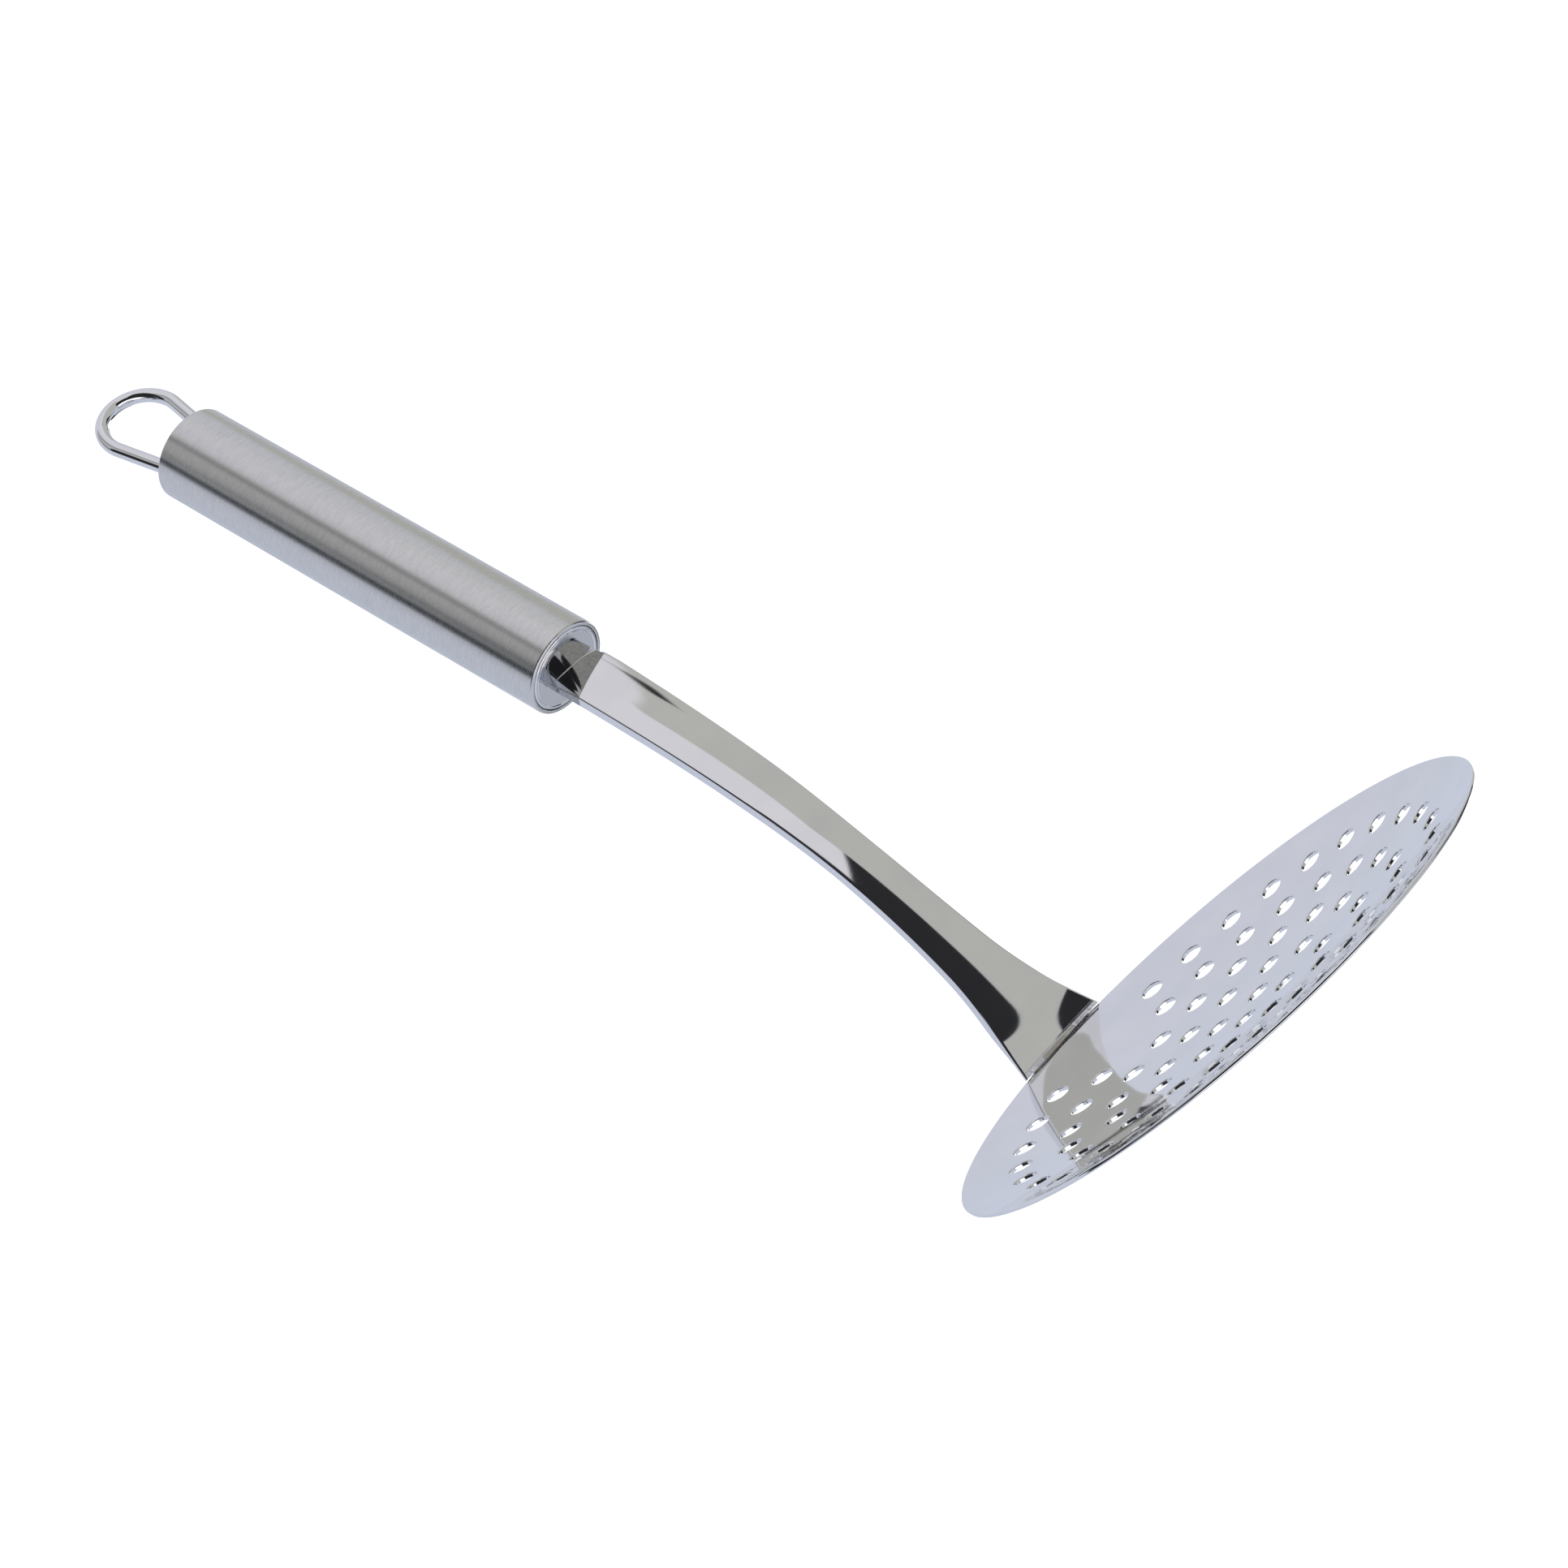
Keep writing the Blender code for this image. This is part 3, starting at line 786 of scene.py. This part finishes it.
def satin_steel(name):
    """Satin stainless: fine scratches that run round the tube, close together."""
    material, tree, shader, where = nodes_of(name, 0.3)
    fine = noise(tree, where, 0.10 * MM, 3, stretch=(14, 14, 1))
    coarse = noise(tree, where, 0.4 * MM, 3, stretch=(5, 5, 1))
    shader.inputs["Anisotropic"].default_value = 0.8
    shader.inputs["Anisotropic Rotation"].default_value = 0.25
    around = tree.nodes.new("ShaderNodeTangent")
    around.direction_type = "RADIAL"
    around.axis = "Z"
    tree.links.new(around.outputs["Tangent"], shader.inputs["Tangent"])
    tinted(tree, shader, coarse, (0.68, 0.68, 0.68), (0.78, 0.78, 0.77))
    tree.links.new(ranged(tree, fine, 0.20, 0.30), shader.inputs["Roughness"])
    low = raised(tree, shader, coarse, 0.0015 * MM)
    raised(tree, shader, fine, 0.0008 * MM, below=low)
    return material


tube_corners = [
    (TUBE_RADIUS - TUBE_WALL, TUBE_REAR, 0.0),
    (TUBE_RADIUS - TUBE_WALL, TUBE_FRONT, 0.15 * MM),
    (TUBE_RADIUS, TUBE_FRONT, 0.5 * MM),
    (TUBE_RADIUS, TUBE_REAR, 0.25 * MM),
    (TUBE_RADIUS - TUBE_WALL, TUBE_REAR, 0.0),
]
tube_steel = satin_steel("satin_brushed_steel")
tube = join_patches("satin_handle_tube", [turned(tube_corners)], [tube_steel], HANDLE)
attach(tube, "root")
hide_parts("handle_tube")

# ---- Rear cap -----------------------------------------------------------------------------
# The cap that closes the rear end of the handle: drawn like the front one, with a flat face
# that the loop's two legs go through.

rear_corners = [
    (0.0, HANDLE_LENGTH - CAP_WALL, 0.0),
    (CAP_RADIUS - CAP_WALL, HANDLE_LENGTH - CAP_WALL, 0.3 * MM),
    (CAP_RADIUS - CAP_WALL, HANDLE_LENGTH - CAP_SKIRT, 0.1 * MM),
    (CAP_RADIUS, HANDLE_LENGTH - CAP_SKIRT, 0.1 * MM),
    (CAP_RADIUS, HANDLE_LENGTH, 0.6 * MM),
    (0.0, HANDLE_LENGTH, 0.0),
]
rear_cap = join_patches("rear_cap_disc", [turned(rear_corners)], [cap_steel], HANDLE)
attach(rear_cap, "root")
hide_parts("rear_cap")

# ---- Hanging loop -------------------------------------------------------------------------
# Bright stainless wire, bent into a round bow with two straight legs that go through the rear
# cap and are fixed inside it.

WIRE_RADIUS = 1.35 * MM
LEG_SPREAD = 5.2 * MM
LEG_INSIDE = 5.0 * MM
BOW_RADIUS = 7.5 * MM
BOW_CENTRE = 14.0 * MM
LEG_STEPS = 6
SLOPE_STEPS = 12
BOW_STEPS = 60


def loop_path():
    """Up one leg, round the bow and down the other, past the rear cap's face."""
    distance = math.hypot(LEG_SPREAD, BOW_CENTRE)
    meet = math.atan2(BOW_CENTRE, LEG_SPREAD) - math.acos(BOW_RADIUS / distance)
    first, last = -meet, math.pi + meet
    leg_top = Vector((0.0, BOW_RADIUS * math.cos(first), BOW_CENTRE + BOW_RADIUS * math.sin(first)))
    foot = Vector((0.0, LEG_SPREAD, 0.0))
    path = [Vector((0.0, LEG_SPREAD, -LEG_INSIDE * (1 - i / LEG_STEPS))) for i in range(LEG_STEPS)]
    path += [foot.lerp(leg_top, i / SLOPE_STEPS) for i in range(SLOPE_STEPS)]
    bow = []
    for i in range(BOW_STEPS + 1):
        angle = first + (last - first) * i / BOW_STEPS
        bow.append(Vector((0.0, BOW_RADIUS * math.cos(angle), BOW_CENTRE + BOW_RADIUS * math.sin(angle))))
    mirrored = [Vector((0.0, -point.y, point.z)) for point in reversed(path)]
    return [point + Vector((0.0, 0.0, HANDLE_LENGTH)) for point in path + bow + mirrored]


def wire(points, radius, sides=28):
    """Round wire along points that lie in the plane across the tool."""
    rows = []
    last = len(points) - 1
    for i, centre in enumerate(points):
        along = (points[min(i + 1, last)] - points[max(i - 1, 0)]).normalized()
        side = Vector((1.0, 0.0, 0.0))
        up = along.cross(side).normalized()
        row = []
        for k in range(sides):
            turn = math.tau * k / sides
            out = side * math.cos(turn) + up * math.sin(turn)
            row.append((centre + out * radius, out))
        rows.append(row)
    cut_off = Vector((0.0, 0.0, -1.0))
    return [grid(rows, closed=True), end_face(rows[0], cut_off), end_face(rows[-1], cut_off)]


wire_steel = mirror_steel("loop_wire_steel", wave=0.003 * MM, wave_size=4 * MM)
loop = join_patches("wire_hanging_loop", wire(loop_path(), WIRE_RADIUS), [wire_steel], HANDLE)
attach(loop, "root")
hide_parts("hanging_loop")

# ---- Camera -------------------------------------------------------------------------------
# A long lens on the open side of the dish, turned so that the handle goes up to the left.

CAMERA_PLACE = Vector((0.5908, -0.3003, 0.1343))
CAMERA_AIM = Vector((0.0011, -0.0038, 0.0715))
CAMERA_ROLL = math.radians(42.23)

lens = bpy.data.cameras.new("camera")
lens.lens = 91.97
lens.sensor_width = 36.0
lens.clip_end = 50.0
camera = bpy.data.objects.new("camera", lens)
bpy.context.scene.collection.objects.link(camera)
aim = (CAMERA_AIM - CAMERA_PLACE).to_track_quat("-Z", "Y")
camera.matrix_world = (
    Matrix.Translation(CAMERA_PLACE) @ aim.to_matrix().to_4x4() @ Matrix.Rotation(-CAMERA_ROLL, 4, "Z")
)
bpy.context.scene.camera = camera

# ---- Studio -------------------------------------------------------------------------------
# A light table that is white all over, in a white room. What the steel mirrors is the room
# round it: pale lavender walls, hung with a few grey, black and white cards.

LAVENDER = (0.65, 0.67, 0.75)
PALE_BLUE = (0.60, 0.64, 0.75)
DULL_LAVENDER = (0.43, 0.455, 0.515)
GREEN_BLACK = (0.01, 0.02, 0.02)
NEUTRAL = (0.72, 0.71, 0.745)
WARM_GREY = (0.50, 0.50, 0.47)
MID_GREY = (0.24, 0.24, 0.24)
SOFT_GREY = (0.46, 0.46, 0.47)
BLACK = (0.025, 0.025, 0.028)
WHITE = (1.5, 1.5, 1.5)
FAR = 999                               # degrees, lower than any card's edge

floor_mesh = bpy.data.meshes.new("floor")
floor_mesh.from_pydata([(-8, -8, 0), (8, -8, 0), (8, 8, 0), (-8, 8, 0)], [], [(0, 1, 2, 3)])
floor = bpy.data.objects.new("floor", floor_mesh)
bpy.context.scene.collection.objects.link(floor)
floor.location.z = CAD_BOX[0].z - 0.1 * MM
floor.visible_glossy = False
floor_paint = bpy.data.materials.new("pale_floor")
floor_paint.use_nodes = True
floor_shader = floor_paint.node_tree.nodes["Principled BSDF"]
floor_shader.inputs["Base Color"].default_value = (0.35, 0.35, 0.35, 1)
floor_shader.inputs["Specular IOR Level"].default_value = 0.0
floor_shader.inputs["Emission Color"].default_value = (1, 1, 1, 1)
floor_shader.inputs["Emission Strength"].default_value = 0.95
floor_mesh.materials.append(floor_paint)

world = bpy.data.worlds.new("studio")
bpy.context.scene.world = world
world.use_nodes = True
room = world.node_tree
bpy.context.scene.view_settings.view_transform = "Standard"


def math_node(operation, *values):
    """A sum worked out by the room's own nodes, from numbers and other nodes' outputs."""
    node = room.nodes.new("ShaderNodeMath")
    node.operation = operation
    for socket, value in zip(node.inputs, values):
        if isinstance(value, (int, float)):
            socket.default_value = value
        else:
            room.links.new(value, socket)
    return node.outputs["Value"]


def part_along(direction, axis):
    """How much of a direction points along an axis."""
    node = room.nodes.new("ShaderNodeVectorMath")
    node.operation = "DOT_PRODUCT"
    node.inputs[1].default_value = axis
    room.links.new(direction, node.inputs[0])
    return node.outputs["Value"]


def bearing_and_height(direction, ahead, left, pole):
    """Bearing round the pole, 0 ahead, and height towards it, both in degrees."""
    bearing = math_node("ARCTAN2", part_along(direction, left), part_along(direction, ahead))
    height = math_node("ARCSINE", part_along(direction, pole))
    return math_node("DEGREES", bearing), math_node("DEGREES", height)


def within(value, low, high, soft):
    """1 between low and high, falling to 0 over soft either side."""
    off = math_node("ABSOLUTE", math_node("SUBTRACT", value, (low + high) / 2))
    edge = room.nodes.new("ShaderNodeMapRange")
    edge.interpolation_type = "SMOOTHSTEP"
    edge.inputs["From Min"].default_value = (high - low) / 2 + soft
    edge.inputs["From Max"].default_value = (high - low) / 2 - soft
    room.links.new(off, edge.inputs["Value"])
    return edge.outputs["Result"]


def card(behind, place, bearings, heights, colour, soft, *cuts):
    """Hangs a card in the room, all in degrees. Each cut goes from one (bearing, height) to
    another and takes off what is above it."""
    bearing, height = place
    across = within(bearing, *bearings, soft)
    upright = within(height, *heights, soft)
    for (bearing_0, height_0), (bearing_1, height_1) in cuts:
        rise = (height_1 - height_0) / (bearing_1 - bearing_0)
        over = math_node("SUBTRACT", height, math_node("MULTIPLY", bearing, rise))
        below = within(over, -FAR, height_0 - rise * bearing_0, soft)
        upright = math_node("MULTIPLY", upright, below)
    mix = room.nodes.new("ShaderNodeMix")
    mix.data_type = "RGBA"
    mix.inputs["B"].default_value = (*colour, 1.0)
    room.links.new(math_node("MULTIPLY", across, upright), mix.inputs["Factor"])
    room.links.new(behind, mix.inputs["A"])
    return mix.outputs["Result"]


coordinates = room.nodes.new("ShaderNodeTexCoord")
direction = coordinates.outputs["Generated"]
round_room = bearing_and_height(direction, (1, 0, 0), (0, 1, 0), (0, 0, 1))
round_handle = bearing_and_height(direction, HANDLE.to_3x3() @ Vector((1, 0, 0)), (0, 1, 0), BACK)

wall = room.nodes.new("ShaderNodeMix")
wall.data_type = "RGBA"
wall.inputs["A"].default_value = (*PALE_BLUE, 1.0)
wall.inputs["B"].default_value = (*LAVENDER, 1.0)
fade = room.nodes.new("ShaderNodeMapRange")
fade.inputs["From Min"].default_value = 0.0
fade.inputs["From Max"].default_value = 30.0
room.links.new(round_room[1], fade.inputs["Value"])
room.links.new(fade.outputs["Result"], wall.inputs["Factor"])
seen = wall.outputs["Result"]
CARDS = (
    # round which pole, bearings, heights, colour, softness, what is cut off
    (round_handle, (-75, -8), (-10, 75), SOFT_GREY, 8),
    (round_handle, (-31, -19), (-10, 75), MID_GREY, 6),
    (round_handle, (-92, -78), (-20, 80), GREEN_BLACK, 3),
    (round_room, (-40, 85), (15, 75), NEUTRAL, 10),
    (round_room, (23.5, 125), (-25, 55), WARM_GREY, 0.5,
     ((23.5, 34), (36, 52)), ((40, 55.5), (68, 46.8))),
    (round_room, (-108, 23.5), (-12, 29), BLACK, 0.6, ((3, 26.5), (23.5, 28.5))),
    (round_room, (-110, 4), (20, 42), BLACK, 0.8, ((-110, 20), (-95, 42))),
    (round_room, (62, 110), (-25, 6), BLACK, 1.0),
    (round_room, (61.5, 67), (45.5, 48), BLACK, 0.8),
    (round_room, (-60, 20), (-35, -13), WHITE, 2),
    (round_room, (100, 175), (-28, -6), WHITE, 2),
    (round_room, (100, 175), (-48, -30), BLACK, 2),
    (round_room, (100, 150), (-72, -50), DULL_LAVENDER, 3),
)
for place, *where in CARDS:
    seen = card(seen, place, *where)
room.links.new(seen, room.nodes["Background"].inputs["Color"])

white_room = room.nodes.new("ShaderNodeBackground")
white_room.inputs["Color"].default_value = (1, 1, 1, 1)
white_room.inputs["Strength"].default_value = 1.05
which = room.nodes.new("ShaderNodeLightPath")
either = room.nodes.new("ShaderNodeMixShader")
room.links.new(which.outputs["Is Camera Ray"], either.inputs["Fac"])
room.links.new(room.nodes["Background"].outputs["Background"], either.inputs[1])
room.links.new(white_room.outputs["Background"], either.inputs[2])
room.links.new(either.outputs["Shader"], room.nodes["World Output"].inputs["Surface"])
